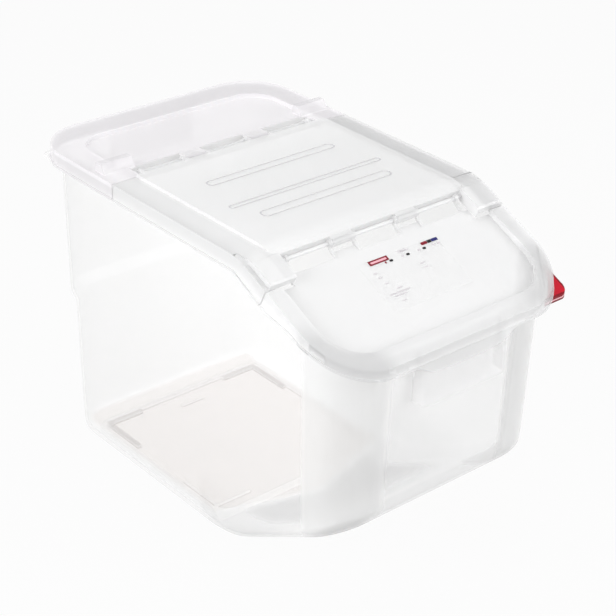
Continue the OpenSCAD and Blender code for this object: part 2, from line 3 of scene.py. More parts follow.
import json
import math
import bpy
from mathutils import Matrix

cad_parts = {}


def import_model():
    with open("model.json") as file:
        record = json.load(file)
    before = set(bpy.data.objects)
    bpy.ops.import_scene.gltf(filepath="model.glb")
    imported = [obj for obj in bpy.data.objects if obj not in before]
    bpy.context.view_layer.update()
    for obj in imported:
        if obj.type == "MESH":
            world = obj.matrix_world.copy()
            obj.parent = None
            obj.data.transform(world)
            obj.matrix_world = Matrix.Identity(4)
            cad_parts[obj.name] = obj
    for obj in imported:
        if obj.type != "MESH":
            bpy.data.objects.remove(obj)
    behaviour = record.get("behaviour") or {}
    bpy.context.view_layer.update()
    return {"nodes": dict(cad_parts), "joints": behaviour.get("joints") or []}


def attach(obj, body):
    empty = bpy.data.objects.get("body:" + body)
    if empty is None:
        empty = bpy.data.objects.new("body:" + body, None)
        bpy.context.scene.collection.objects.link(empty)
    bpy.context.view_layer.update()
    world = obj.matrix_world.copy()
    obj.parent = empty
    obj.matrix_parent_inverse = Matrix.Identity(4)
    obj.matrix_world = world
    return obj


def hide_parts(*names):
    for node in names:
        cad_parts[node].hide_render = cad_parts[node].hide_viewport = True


bl_info = {
    "name": "Rice Bin with Flip Lid",
    "version": (1, 0, 0),
    "blender": (4, 2, 0),
    "location": "View3D > Sidebar > Rice Bin",
    "description": "Soft-edged milky plastic, print and studio for a rice bin with a flip lid",
    "category": "Object",
}

from collections import namedtuple
from functools import partial

import bmesh
import bpy
from bpy.props import FloatProperty, FloatVectorProperty, PointerProperty
from mathutils import Matrix, Vector

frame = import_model()
hinge_y = {joint["name"]: joint["pos_m"][1] for joint in frame["joints"]}

MM = 0.001
# The flat lid's top, its front edge, and the bend where the flap starts to slope
LID_TOP = 417 * MM
LID_FRONT = -300 * MM
BEND_Y = -121.5 * MM
# The flap's slope, its length from the bend to the front edge, and its sunk field
SLOPE = math.radians(24.4)
SLOPE_LENGTH = (BEND_Y - LID_FRONT) / math.cos(SLOPE)
FLAP_SINK = 8 * MM
# The label's upper face, measured square to the slope
LABEL_TOP = 0.3 * MM - FLAP_SINK


# ------------------------------------------------------------------ sizes and colours
def length(name, what, default):
    return FloatProperty(name=name, description=what, default=default, unit="LENGTH")


def share(name, what, default):
    return FloatProperty(name=name, description=what, default=default, subtype="FACTOR", min=0, max=1)


def power(name, what, default):
    return FloatProperty(name=name, description=what, default=default, unit="POWER")


def colour(name, what, default):
    return FloatVectorProperty(
        name=name, description=what, default=default, subtype="COLOR", min=0, max=1, size=3
    )


class RICEBIN_PG_sizes(bpy.types.PropertyGroup):
    """Sizes that the dressing adds to the construction"""

    tub_edge: length("Tub Edge", "Radius of the tub's moulded edges", 0.7 * MM)
    lid_edge: length("Lid Edge", "Radius of the lid panels' moulded edges", 0.6 * MM)
    clip_edge: length("Clip Edge", "Radius of the colour clip's edges", 0.35 * MM)
    print_height: length("Print Height", "Thickness of the ink on the label", 0.04 * MM)


class RICEBIN_PG_colours(bpy.types.PropertyGroup):
    """Colours and clearness of the plastics, and colours of the print"""

    tub: colour("Tub", "Milky plastic of the tub", (0.985, 0.985, 0.985))
    tub_clear: share("Tub Clearness", "How much light passes one wall of the tub", 0.81)
    tub_floor: colour("Tub Floor", "Warmer tone of the tub's floor", (0.84, 0.745, 0.69))
    lid: colour("Lid", "Milky plastic of the middle panel and the flap", (0.865, 0.865, 0.87))
    lid_clear: share("Lid Clearness", "How much light passes the middle panel and the flap", 0.56)
    # Painted light: the middle panel's rear drawn brighter
    lid_rear_painted_light: colour("Bright Lid", "Rear of the middle panel", (0.93, 0.93, 0.935))
    # Painted shade on the middle panel beside its plateau
    lid_side_painted_shade: colour("Lid Side", "Middle panel beside its plateau", (0.83, 0.83, 0.835))
    # Painted shade in the floors of the grooves
    groove_painted_shade: colour("Grooves", "Floor of the middle panel's grooves", (0.62, 0.62, 0.64))
    flap_rim: colour("Flap Rim", "Flap round its sunk field", (0.9, 0.9, 0.905))
    # Painted shade on the flap's round front corners
    flap_corner_painted_shade: colour("Flap Corners", "Round front corners of the flap", (0.77, 0.77, 0.775))
    rear_lid: colour("Rear Panel", "Tone of the fixed rear panel", (0.96, 0.94, 0.965))
    rear_clear: share("Rear Panel Clearness", "How much light passes the rear panel", 0.54)
    # Painted shade on the rear panel's stop blocks and skirt
    rear_painted_shade: colour("Rear Shade", "Stop blocks and skirt of the rear panel", (0.76, 0.745, 0.765))
    rod: colour("Hinge Rods", "Plastic of the hinge rods", (0.88, 0.88, 0.89))
    rod_clear: share("Rod Clearness", "How much light passes a hinge rod", 0.5)
    clip: colour("Clip", "Solid plastic of the colour clip", (0.53, 0.006, 0.022))
    # Painted highlight along the clip's foot
    clip_painted_highlight: colour("Clip Line", "Paler line along the clip's foot", (0.86, 0.5, 0.54))
    film: colour("Label Film", "Clear film of the label", (0.99, 0.99, 0.99))
    film_clear: share("Film Clearness", "How much light passes the label's film", 0.96)
    print_red: colour("Print Red", "Dark red ink", (0.20, 0.005, 0.016))
    print_blue: colour("Print Blue", "Blue ink", (0.02, 0.02, 0.13))
    print_black: colour("Print Black", "Black ink", (0.006, 0.005, 0.006))
    print_grey: colour("Print Grey", "Pale grey ink of the ruled lines", (0.62, 0.58, 0.61))
    print_pink: colour("Print Pink", "Pale ink within the red pill", (0.80, 0.42, 0.48))
    print_worn: colour("Worn Print", "Tone that worn ink fades to", (0.8, 0.78, 0.8))


class RICEBIN_PG_stage(bpy.types.PropertyGroup):
    """Camera and lamps"""

    lens: FloatProperty(
        name="Lens", description="Focal length of the camera in millimetres", default=99.43
    )
    key: power("Key Lamp", "Power of the lamp on the left", 55)
    top: power("Top Lamp", "Power of the lamp above", 19)
    front: power("Front Lamp", "Power of the lamp before the front", 55)
    room: FloatProperty(
        name="Room Light", description="Strength of the even light around", default=0.25
    )


# ------------------------------------------------------------------ node helpers
# The middle of a noise's range, where nearly all of it lies
NOISE_MIDDLE = (0.3, 0.7)
# Sockets of a Mix node that mixes colours: the two colours and the result
FIRST_COLOUR = 6
SECOND_COLOUR = 7
MIXED_COLOUR = 2


def fresh_material(name):
    """An empty node material with its output and a Principled shader."""
    material = bpy.data.materials.new(name)
    material.use_nodes = True
    tree = material.node_tree
    tree.nodes.clear()
    out = tree.nodes.new("ShaderNodeOutputMaterial")
    skin = tree.nodes.new("ShaderNodeBsdfPrincipled")
    tree.links.new(skin.outputs["BSDF"], out.inputs["Surface"])
    return material, tree, skin


def node(tree, kind, **settings):
    made = tree.nodes.new(kind)
    for key, value in settings.items():
        setattr(made, key, value)
    return made


def object_place(tree):
    """The place on the piece, in metres."""
    return node(tree, "ShaderNodeTexCoord").outputs["Object"]


def noise(tree, where, scale, detail):
    made = node(tree, "ShaderNodeTexNoise")
    made.inputs["Scale"].default_value = scale
    made.inputs["Detail"].default_value = detail
    tree.links.new(where, made.inputs["Vector"])
    return made.outputs["Fac"]


def spread(tree, value, low, high, to_low, to_high):
    """Maps a value's range to another one, smoothly."""
    made = node(tree, "ShaderNodeMapRange", interpolation_type="SMOOTHSTEP")
    for key, number in zip(
        ("From Min", "From Max", "To Min", "To Max"), (low, high, to_low, to_high)
    ):
        made.inputs[key].default_value = number
    tree.links.new(value, made.inputs["Value"])
    return made.outputs["Result"]


def swing(tree, grain, to_low, to_high):
    """Spreads the middle of a noise's range between two values."""
    return spread(tree, grain, *NOISE_MIDDLE, to_low, to_high)


def worked(tree, operation, a, b):
    """One step of arithmetic on two values, each a number or a socket."""
    made = node(tree, "ShaderNodeMath", operation=operation)
    for socket, value in zip(made.inputs, (a, b)):
        if isinstance(value, bpy.types.NodeSocket):
            tree.links.new(value, socket)
        else:
            socket.default_value = value
    return made.outputs[0]


def times(tree, total, *others):
    for value in others:
        total = worked(tree, "MULTIPLY", total, value)
    return total


def largest(tree, most, *others):
    for value in others:
        most = worked(tree, "MAXIMUM", most, value)
    return most


def mixed(tree, factor, a, b):
    """Mixes two colours, each a colour or a socket."""
    made = node(tree, "ShaderNodeMix", data_type="RGBA")
    tree.links.new(factor, made.inputs["Factor"])
    for key, value in ((FIRST_COLOUR, a), (SECOND_COLOUR, b)):
        if isinstance(value, bpy.types.NodeSocket):
            tree.links.new(value, made.inputs[key])
        else:
            made.inputs[key].default_value = (*value, 1)
    return made.outputs[MIXED_COLOUR]


def bump(tree, skin, height, strength, distance):
    made = node(tree, "ShaderNodeBump")
    made.inputs["Strength"].default_value = strength
    made.inputs["Distance"].default_value = distance
    tree.links.new(height, made.inputs["Height"])
    tree.links.new(made.outputs["Normal"], skin.inputs["Normal"])


def shade(rgb, factor):
    return tuple(min(1.0, c * factor) for c in rgb)


# ------------------------------------------------------------------ places on the pieces
# Every place below is in millimetres: side counts from the middle plane outwards, along runs
# to the rear and up starts at the floor. A step is soft over its blur to either side.
def axes(tree, where):
    """The place beside the middle plane, along the bin and above the floor."""
    apart = node(tree, "ShaderNodeSeparateXYZ")
    tree.links.new(where, apart.inputs[0])
    side = node(tree, "ShaderNodeMath", operation="ABSOLUTE")
    tree.links.new(apart.outputs["X"], side.inputs[0])
    return side.outputs[0], apart.outputs["Y"], apart.outputs["Z"]


def rising(tree, value, start, end, low=0, high=1):
    """Goes from one share up to another between two places."""
    return spread(tree, value, start * MM, end * MM, low, high)


def falling(tree, value, start, end, low=0):
    """Goes from 1 down to a share between two places."""
    return rising(tree, value, start, end, 1, low)


def after(tree, value, place, blur=1.0):
    return rising(tree, value, place - blur, place + blur)


def before(tree, value, place, blur=1.0):
    return falling(tree, value, place - blur, place + blur)


def band(tree, value, low, high, blur=1.0):
    """1 between two places and 0 outside."""
    return times(tree, after(tree, value, low, blur), before(tree, value, high, blur))


def slanted(tree, a, b, share_a, share_b):
    """A weighted sum of two places."""
    return worked(tree, "ADD", times(tree, a, share_a), times(tree, b, share_b))


def over_slope(tree, along, up):
    """The height measured square to the flap's slope."""
    return slanted(tree, along, up, -math.sin(SLOPE), math.cos(SLOPE))


def beyond(tree, a, b, corner_a, corner_b):
    """How far a place lies outside an inner corner."""
    place = node(tree, "ShaderNodeCombineXYZ")
    tree.links.new(a, place.inputs[0])
    tree.links.new(b, place.inputs[1])
    apart = node(tree, "ShaderNodeVectorMath", operation="SUBTRACT")
    apart.inputs[1].default_value = (corner_a * MM, corner_b * MM, 0)
    outside = node(tree, "ShaderNodeVectorMath", operation="MAXIMUM")
    outside.inputs[1].default_value = (0, 0, 0)
    distance = node(tree, "ShaderNodeVectorMath", operation="LENGTH")
    tree.links.new(place.outputs[0], apart.inputs[0])
    tree.links.new(apart.outputs[0], outside.inputs[0])
    tree.links.new(outside.outputs[0], distance.inputs[0])
    return distance.outputs["Value"]


# ------------------------------------------------------------------ milky plastic
# Clouds in the colour and broad flow marks in the roughness: their scales and how far they swing
CLOUD_SCALE = 4
CLOUD_SWING = 0.01
FLOW_SCALE = 9
FLOW_SWING = (-0.02, 0.03)
PLASTIC_IOR = 1.49


def milky_plastic(name, rgb, clearness, rough=0.3, detail=None):
    """Translucent moulded plastic with faint clouds and broad flow marks."""
    material, tree, skin = fresh_material(name)
    where = object_place(tree)
    clouds = swing(tree, noise(tree, where, CLOUD_SCALE, 0), 0, 1)
    base = mixed(tree, clouds, shade(rgb, 1 - CLOUD_SWING), shade(rgb, 1 + CLOUD_SWING))
    skin.inputs["Alpha"].default_value = 1 - clearness
    if detail:
        base, density = detail(tree, where, base)
        if density:
            tree.links.new(density, skin.inputs["Alpha"])
    tree.links.new(base, skin.inputs["Base Color"])
    flow = noise(tree, where, FLOW_SCALE, 0)
    smoothest, roughest = (rough + part for part in FLOW_SWING)
    tree.links.new(swing(tree, flow, smoothest, roughest), skin.inputs["Roughness"])
    skin.inputs["IOR"].default_value = PLASTIC_IOR
    return material


# The tub's floor: its top, its half width, and its front edge, which runs back to the sides
FLOOR_TOP = 10
FLOOR_HALF = 138
FLOOR_FRONT = -62
FLOOR_FRONT_LEAN = -0.292
FLOOR_BLUR = 2
# The two bars of each L-shaped floor rib, as ranges to the side and along
LONG_RIB = ((121.5, 127.5), (160, 234))
CROSS_RIB = ((70.5, 127.5), (228, 234))
RIB_BLUR = 0.5
# Where the front wall turns denser and takes painted shade, the share of it between its corners, and the
# rear corners, which take painted shade too
FRONT_WALL = (-219, -211)
FRONT_CORNERS = (90, 104)
FRONT_MIDDLE_SHARE = 0.35
REAR_CORNERS = (215, 270)
REAR_SHARE = 0.3
# Where painted shade darkens the slanted lower front, more towards the bottom: its height, its middle
# and the share of it beside the middle, and its rear end at the floor
FOOT_HEIGHT = (20, 100)
FOOT_MIDDLE = (85, 115)
FOOT_SIDE_SHARE = 0.45
FOOT_REAR = (-72, -64)
# Brightness of each zone against its plastic, painted shade for the corners and the foot, and the most
# that the corners take of theirs
RIB_TONE = 0.55
CORNER_PAINTED_SHADE = 0.84
CORNER_MIX = 0.9
FOOT_PAINTED_SHADE = 0.62
# Share of the thickest plastic in each zone, which for the corners and foot also deepens their painted
# shade, and how much less light the thickest lets through
CORNER_THICK = 0.6
FOOT_THICK = 0.55
FLOOR_THICK = 0.33
THICKEST = 0.42


def tub_detail(colours, tree, where, base):
    """The tub's warm floor, darker floor ribs, painted shade on its denser front and corners, and
    painted shade on its foot, darker towards the bottom.
    """
    side, along, up = axes(tree, where)
    from_front = slanted(tree, along, side, 1, FLOOR_FRONT_LEAN)
    low = before(tree, up, FLOOR_TOP)
    floor = times(
        tree,
        low,
        before(tree, side, FLOOR_HALF, FLOOR_BLUR),
        after(tree, from_front, FLOOR_FRONT, FLOOR_BLUR),
    )
    bars = [
        times(tree, band(tree, side, *across, RIB_BLUR), band(tree, along, *run, RIB_BLUR))
        for across, run in (LONG_RIB, CROSS_RIB)
    ]
    ribs = times(tree, largest(tree, *bars), low)
    # Painted shade on the front wall, its corners and the rear corners
    front = falling(tree, along, *FRONT_WALL)
    front = times(tree, front, rising(tree, side, *FRONT_CORNERS, FRONT_MIDDLE_SHARE, 1))
    corners = largest(tree, front, rising(tree, along, *REAR_CORNERS, 0, REAR_SHARE))
    # Painted shade on the slanted lower front, darker towards the bottom
    foot = times(
        tree,
        falling(tree, up, *FOOT_HEIGHT),
        falling(tree, side, *FOOT_MIDDLE, FOOT_SIDE_SHARE),
        falling(tree, from_front, *FOOT_REAR),
    )

    base = mixed(tree, floor, base, colours.tub_floor)
    base = mixed(tree, ribs, base, shade(colours.tub_floor, RIB_TONE))
    # The corners' painted shade
    corner_shade_share = times(tree, corners, CORNER_MIX)
    base = mixed(tree, corner_shade_share, base, shade(colours.tub, CORNER_PAINTED_SHADE))
    # The foot's painted shade
    base = mixed(tree, foot, base, shade(colours.tub, FOOT_PAINTED_SHADE))
    thick = largest(
        tree,
        times(tree, corners, CORNER_THICK),
        times(tree, foot, FOOT_THICK),
        times(tree, floor, FLOOR_THICK),
        ribs,
    )
    thin = 1 - colours.tub_clear
    return base, spread(tree, thick, 0, 1, thin, thin + THICKEST)


# The middle panel: where painted light brightens its rear, where its plateau ends and painted shade
# takes its sides, and its grooves' floors, which take painted shade
PAINTED_LIGHT_REAR = (20, 125)
PLATEAU_SIDE = (150, 154)
GROOVE_UP = (419.2, 420.5)
GROOVE_UP_BLUR = 0.2
GROOVE_HALF = 124
GROOVE_FIELD = (-72, 57)


def middle_detail(colours, tree, where, base):
    """The middle panel's painted light on its rear, and painted shade on its sides and in its grooves.
    """
    side, along, up = axes(tree, where)
    grooves = times(
        tree,
        band(tree, up, *GROOVE_UP, GROOVE_UP_BLUR),
        before(tree, side, GROOVE_HALF),
        band(tree, along, *GROOVE_FIELD),
    )
    # Painted light towards the rear
    base = mixed(tree, rising(tree, along, *PAINTED_LIGHT_REAR), base, colours.lid_rear_painted_light)
    # Painted shade on the sides beside the plateau
    base = mixed(tree, rising(tree, side, *PLATEAU_SIDE), base, colours.lid_side_painted_shade)
    # Painted shade in the grooves
    return mixed(tree, grooves, base, colours.groove_painted_shade), None


# The rear panel: the foot of its stop blocks and its skirt, which take painted shade, and its wall at
# the hinge, which takes painted light
STOP_BLOCKS = (417.4, 418.6)
STOP_BLOCK_SHARE = 0.75
SKIRT_UP = (411, 413)
SKIRT_SIDE = (179, 181)
SKIRT_SHARE = 0.8
HINGE_WALL_ALONG = (139, 153)
HINGE_WALL_BLUR = 0.5
HINGE_WALL_UP = (415.5, 416.5)
HINGE_WALL_HALF = 140
# Painted light: white that brightens the shaded wall at the rear hinge
HINGE_PAINTED_LIGHT = (1, 1, 1)


def rear_detail(colours, tree, where, base):
    """Painted shade on the rear panel's stop blocks and skirt, and painted light on its wall at the
    hinge.
    """
    side, along, up = axes(tree, where)
    blocks = rising(tree, up, *STOP_BLOCKS, 0, STOP_BLOCK_SHARE)
    skirt = falling(tree, up, *SKIRT_UP)
    skirt = times(tree, skirt, rising(tree, side, *SKIRT_SIDE, 0, SKIRT_SHARE))
    # Painted light on the wall at the hinge
    wall = times(
        tree,
        band(tree, along, *HINGE_WALL_ALONG, HINGE_WALL_BLUR),
        falling(tree, up, *HINGE_WALL_UP),
        before(tree, side, HINGE_WALL_HALF),
    )
    # Painted shade on the stop blocks and skirt
    base = mixed(tree, largest(tree, blocks, skirt), base, colours.rear_painted_shade)
    # The hinge wall's painted light
    return mixed(tree, wall, base, HINGE_PAINTED_LIGHT), None


# The flap's sunk field: its height against the slope, and its end short of the front edge
FIELD_HEIGHT = (-12, -7)
FIELD_HEIGHT_BLUR = 0.4
FIELD_END = 25
# The inner corner that the field's outline bends round, at what distance
FIELD_INNER_SIDE = 108
FIELD_INNER_END = 53
FIELD_ROUND = (57, 60)
# The rim's front corners, which take painted shade: to the side, and short of the field's end
CORNER_SIDE = (95, 125)
CORNER_RUN = (-70, -35)


def flap_detail(colours, tree, where, base):
    """The flap's rim, with painted shade on its front corners, round its sunk field."""
    side, along, up = axes(tree, where)
    height = over_slope(tree, along, up)
    run = slanted(tree, along, up, -math.cos(SLOPE), -math.sin(SLOPE))
    # The slope's own height, and how far down the slope it begins and its field ends
    ground = (LID_TOP * math.cos(SLOPE) - BEND_Y * math.sin(SLOPE)) / MM
    start = (-BEND_Y * math.cos(SLOPE) - LID_TOP * math.sin(SLOPE)) / MM
    end = start + SLOPE_LENGTH / MM - FIELD_END
    lowest, highest = (ground + part for part in FIELD_HEIGHT)
    outward = beyond(tree, side, run, FIELD_INNER_SIDE, end - FIELD_INNER_END)
    field = times(
        tree,
        band(tree, height, lowest, highest, FIELD_HEIGHT_BLUR),
        falling(tree, outward, *FIELD_ROUND),
    )
    corner = times(
        tree,
        rising(tree, side, *CORNER_SIDE),
        rising(tree, run, *(end + part for part in CORNER_RUN)),
    )
    # Painted shade on the rim's front corners
    rim = mixed(tree, corner, colours.flap_rim, colours.flap_corner_painted_shade)
    return mixed(tree, field, rim, base), None


# ------------------------------------------------------------------ clip and print
# The clip's top edges, which take painted shade, and the painted highlight line and the painted shade at
# the foot below them, square to the slope
CLIP_SIDE = (176.6, 177.8)
CLIP_FRONT = (-285.6, -284.4)
CLIP_HIGHLIGHT_BAND = (413.4, 415)
CLIP_HIGHLIGHT_BLUR = 0.3
CLIP_FOOT = (412.9, 413.5)
CLIP_EDGE_PAINTED_SHADE = 0.42
CLIP_FOOT_PAINTED_SHADE = 0.3
# The clip's clouds and fine skin
CLIP_CLOUD_SCALE = 60
CLIP_CLOUD_SWING = 0.05
CLIP_SKIN_SCALE = 1200
CLIP_SKIN_STRENGTH = 0.1
CLIP_SKIN_DEPTH = 0.1 * MM
CLIP_ROUGHNESS = (0.31, 0.4)
CLIP_SHINE = 0.2
# The print's worn specks: their scale, the part of the noise that wears, and how far it fades
SPECK_SCALE = 1500
WORN_SPECKS = (0.5, 0.8)
MOST_FADED = 0.12
INK_ROUGHNESS = (0.4, 0.55)
INK_SHINE = 0.15


def clip_plastic(colours):
    """Opaque coloured plastic with a fine skin, painted shade on its edges and at its foot, and a
    painted highlight along its foot.
    """
    material, tree, skin = fresh_material("Clip Plastic")
    where = object_place(tree)
    side, along, up = axes(tree, where)
    height = over_slope(tree, along, up)
    edge = largest(tree, rising(tree, side, *CLIP_SIDE), falling(tree, along, *CLIP_FRONT))
    clouds = swing(tree, noise(tree, where, CLIP_CLOUD_SCALE, 2), 0, 1)
    dull, bright = (shade(colours.clip, 1 + part) for part in (-CLIP_CLOUD_SWING, CLIP_CLOUD_SWING))
    base = mixed(tree, clouds, dull, bright)
    # Painted shade on the clip's edges
    base = mixed(tree, edge, base, shade(colours.clip, CLIP_EDGE_PAINTED_SHADE))
    # Painted highlight: a paler line along the foot
    base = mixed(tree, band(tree, height, *CLIP_HIGHLIGHT_BAND, CLIP_HIGHLIGHT_BLUR), base, colours.clip_painted_highlight)
    # Painted shade at the clip's foot
    foot = falling(tree, height, *CLIP_FOOT)
    base = mixed(tree, foot, base, shade(colours.clip, CLIP_FOOT_PAINTED_SHADE))
    tree.links.new(base, skin.inputs["Base Color"])
    skin.inputs["Specular IOR Level"].default_value = CLIP_SHINE
    fine = noise(tree, where, CLIP_SKIN_SCALE, 1)
    tree.links.new(swing(tree, fine, *CLIP_ROUGHNESS), skin.inputs["Roughness"])
    bump(tree, skin, fine, CLIP_SKIN_STRENGTH, CLIP_SKIN_DEPTH)
    return material


def ink(name, rgb, worn):
    """Printed ink, a little worn."""
    material, tree, skin = fresh_material(name)
    specks = noise(tree, object_place(tree), SPECK_SCALE, 2)
    faded = spread(tree, specks, *WORN_SPECKS, 0, MOST_FADED)
    tree.links.new(mixed(tree, faded, rgb, worn), skin.inputs["Base Color"])
    tree.links.new(swing(tree, specks, *INK_ROUGHNESS), skin.inputs["Roughness"])
    skin.inputs["Specular IOR Level"].default_value = INK_SHINE
    return material


# ------------------------------------------------------------------ modelling helpers
# Corners closer than this are merged, and faces that meet flatter than this are joined
MERGE = 0.05 * MM
FLAT_ANGLE = math.radians(0.6)
# Edges blunter than this are shaded smooth
SMOOTH_ANGLE = math.radians(35)
# A face larger than this gets its own normal where the smoothing strays further than this
WIDE_FACE = 40 * MM * MM
STRAY_ANGLE = math.radians(20)
# An edge is rounded where its faces and its length leave this many radii of room
ROOM = 3
# How far the bands with no room for rounded edges reach from the hinge axes, from the side
# arms' horns in front of the front hinge, and how far below the lid's top they begin
REAR_BAND = 20 * MM
FRONT_BAND = 16 * MM
HORN_BAND = 12 * MM
UNDER_TOP = 0.5 * MM
# The top of the tub's front wall: how far behind the lid's front edge, and from what height
LIP_BAND = 15 * MM
LIP_UP = 300 * MM


def pick(*objects):
    bpy.ops.object.select_all(action="DESELECT")
    for obj in objects:
        obj.select_set(True)
    bpy.context.view_layer.objects.active = objects[0]


def copy_of(cad_name, name):
    """A free copy of a CAD node's mesh, as its own object at the origin."""
    obj = bpy.data.objects.new(name, frame["nodes"][cad_name].data.copy())
    bpy.context.scene.collection.objects.link(obj)
    return obj


def wear(obj, material):
    obj.data.materials.clear()
    obj.data.materials.append(material)


def recolour(cad_name, material):
    """Gives a CAD node a material in its own slots."""
    for place in frame["nodes"][cad_name].material_slots:
        place.material = material


def beside_nothing(place):
    return False


def beside_hinge(place):
    """True in the two hinge bands, where the knuckles leave no room for a rounded edge."""
    from_front = place.y - hinge_y["front_hinge"]
    front = abs(from_front) < FRONT_BAND and place.z < LID_TOP - UNDER_TOP
    horn = abs(from_front + FRONT_BAND) < HORN_BAND and place.z < LID_TOP - HORN_BAND
    return abs(place.y - hinge_y["rear_hinge"]) < REAR_BAND or front or horn


def beside_lip(place):
    """True along the top of the tub's front wall, under the flap's lip."""
    return place.y < LID_FRONT + LIP_BAND and place.z > LIP_UP


def mark_roomy_edges(mesh, radius, angle, spared):
    """Gives a bevel weight to the sharp edges whose faces are wide enough for the radius."""
    shape = bmesh.new()
    shape.from_mesh(mesh)
    weight = shape.edges.layers.float.new("bevel_weight_edge")
    room = ROOM * radius
    width = {face: 2 * face.calc_area() / face.calc_perimeter() for face in shape.faces}
    for edge in shape.edges:
        a, b = edge.verts
        sharp = edge.calc_face_angle(0) > math.radians(angle)
        wide = min(width[face] for face in edge.link_faces) > room
        if sharp and wide and edge.calc_length() > room and not spared((a.co + b.co) / 2):
            edge[weight] = 1
    shape.to_mesh(mesh)
    shape.free()


def flatten_wide_faces(mesh):
    """Gives a wide flat face its own normal at each corner where the smoothing strays from it."""
    normals = [corner.vector.copy() for corner in mesh.corner_normals]
    for face in mesh.polygons:
        if face.area > WIDE_FACE:
            for i in face.loop_indices:
                if normals[i].angle(face.normal, 0) > STRAY_ANGLE:
                    normals[i] = face.normal.copy()
    mesh.normals_split_custom_set(normals)


def soften(obj, radius, spared=beside_nothing, angle=28):
    """Merges a copy's loose triangles, rounds its moulded edges and smooths what is left."""
    pick(obj)
    bpy.ops.object.mode_set(mode="EDIT")
    bpy.ops.mesh.select_all(action="SELECT")
    bpy.ops.mesh.remove_doubles(threshold=MERGE)
    bpy.ops.mesh.dissolve_degenerate(threshold=MERGE)
    bpy.ops.mesh.dissolve_limited(angle_limit=FLAT_ANGLE)
    bpy.ops.object.mode_set(mode="OBJECT")
    mark_roomy_edges(obj.data, radius, angle, spared)
    round_off = obj.modifiers.new("Rounded Edges", "BEVEL")
    round_off.width = radius
    round_off.segments = 2
    round_off.limit_method = "WEIGHT"
    round_off.use_clamp_overlap = False
    round_off.miter_outer = "MITER_ARC"
    bpy.ops.object.modifier_apply(modifier=round_off.name)
    bpy.ops.object.shade_smooth_by_angle(angle=SMOOTH_ANGLE)
    level = obj.modifiers.new("Level Faces", "WEIGHTED_NORMAL")
    level.keep_sharp = True
    level.weight = 100
    bpy.ops.object.modifier_apply(modifier=level.name)
    flatten_wide_faces(obj.data)


def finish_piece(obj, body, slot, *replaced):
    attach(obj, body)
    if replaced:
        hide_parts(*replaced)


def need_faces(obj, fewest):
    if len(obj.data.polygons) < fewest:
        raise RuntimeError(f"{obj.name} lost its faces")


# ------------------------------------------------------------------ tub, lid, rods and clip
class RICEBIN_OT_tub(bpy.types.Operator):
    """Dress the tub with its rim, grips, ledge and corner tabs"""

    bl_idname = "ricebin.tub"
    bl_label = "Tub"

    def execute(self, context):
        sizes, colours = context.scene.ricebin_sizes, context.scene.ricebin_colours
        tub = copy_of("bin_body", "tub")
        soften(tub, sizes.tub_edge, beside_lip, angle=40)
        need_faces(tub, 500)
        detail = partial(tub_detail, colours)
        wear(tub, milky_plastic("Milky Tub", colours.tub, colours.tub_clear, 0.34, detail))
        finish_piece(tub, "root", "tub_plastic", "bin_body")
        return {"FINISHED"}


class RICEBIN_OT_lid(bpy.types.Operator):
    """Dress the rear panel, the middle panel and the front flap"""

    bl_idname = "ricebin.lid"
    bl_label = "Lid Panels"

    def execute(self, context):
        sizes, colours = context.scene.ricebin_sizes, context.scene.ricebin_colours
        moving_plastic = partial(milky_plastic, rgb=colours.lid, clearness=colours.lid_clear)
        middle = moving_plastic("Milky Lid", detail=partial(middle_detail, colours))
        flap = moving_plastic("Milky Flap", detail=partial(flap_detail, colours))
        detail = partial(rear_detail, colours)
        rear = milky_plastic("Milky Rear Panel", colours.rear_lid, colours.rear_clear, detail=detail)
        for name, cad_name, body, plastic in (
            ("rear_panel", "rear_lid", "root", rear),
            ("middle_panel", "middle_lid", "middle", middle),
            ("front_flap_panel", "front_flap", "flap", flap),
        ):
            panel = copy_of(cad_name, name)
            soften(panel, sizes.lid_edge, beside_hinge)
            need_faces(panel, 100)
            wear(panel, plastic)
            finish_piece(panel, body, "lid_plastic", cad_name)
        return {"FINISHED"}


class RICEBIN_OT_rods(bpy.types.Operator):
    """Give the two hinge rods their plastic"""

    bl_idname = "ricebin.rods"
    bl_label = "Hinge Rods"

    def execute(self, context):
        colours = context.scene.ricebin_colours
        plastic = milky_plastic("Rod Plastic", colours.rod, colours.rod_clear, 0.28)
        recolour("rear_hinge_rod", plastic)
        recolour("front_hinge_rod", plastic)
        return {"FINISHED"}


class RICEBIN_OT_clip(bpy.types.Operator):
    """Dress the colour clip on its corner tab"""

    bl_idname = "ricebin.clip"
    bl_label = "Colour Clip"

    def execute(self, context):
        clip = copy_of("colour_clip", "clip")
        soften(clip, context.scene.ricebin_sizes.clip_edge)
        wear(clip, clip_plastic(context.scene.ricebin_colours))
        finish_piece(clip, "root", "clip_plastic", "colour_clip")
        return {"FINISHED"}


# ------------------------------------------------------------------ label
# A mark of the print: its ends across the bin and up the slope, its corner radius, its ink
# and how many inks lie under it. Up the slope counts from the lid's front edge.
Mark = namedtuple("Mark", "name across up corner ink level")
BAR_UP = (133.5, 137.8)
PILL_AND_BARS = (
    Mark("pill", (-37, -8), (131.4, 138), 3.2, "red", 0),
    Mark("pill_middle", (-34.5, -10.5), (133.3, 136.1), 1.35, "pink", 1),
    Mark("bar_a", (44.5, 54), BAR_UP, 1.4, "red", 0),
    Mark("bar_b", (54.4, 60.4), BAR_UP, 0.6, "black", 0),
    Mark("bar_c", (60.8, 70.5), BAR_UP, 0.6, "blue", 0),
)
# The middle, half width and ink of each dot, and the ends up the slope of them all
DOTS = (
    (-15.5, 1.2, "red"),
    (-7, 2.6, "black"),
    (11, 1.2, "grey"),
    (19, 2.6, "black"),
    (36.5, 1.4, "grey"),
    (44.6, 2.6, "black"),
    (60, 1.2, "grey"),
    (67.5, 2.2, "grey"),
)
DOT_UP = (127.7, 130.9)
DOT_ROUNDNESS = 0.98
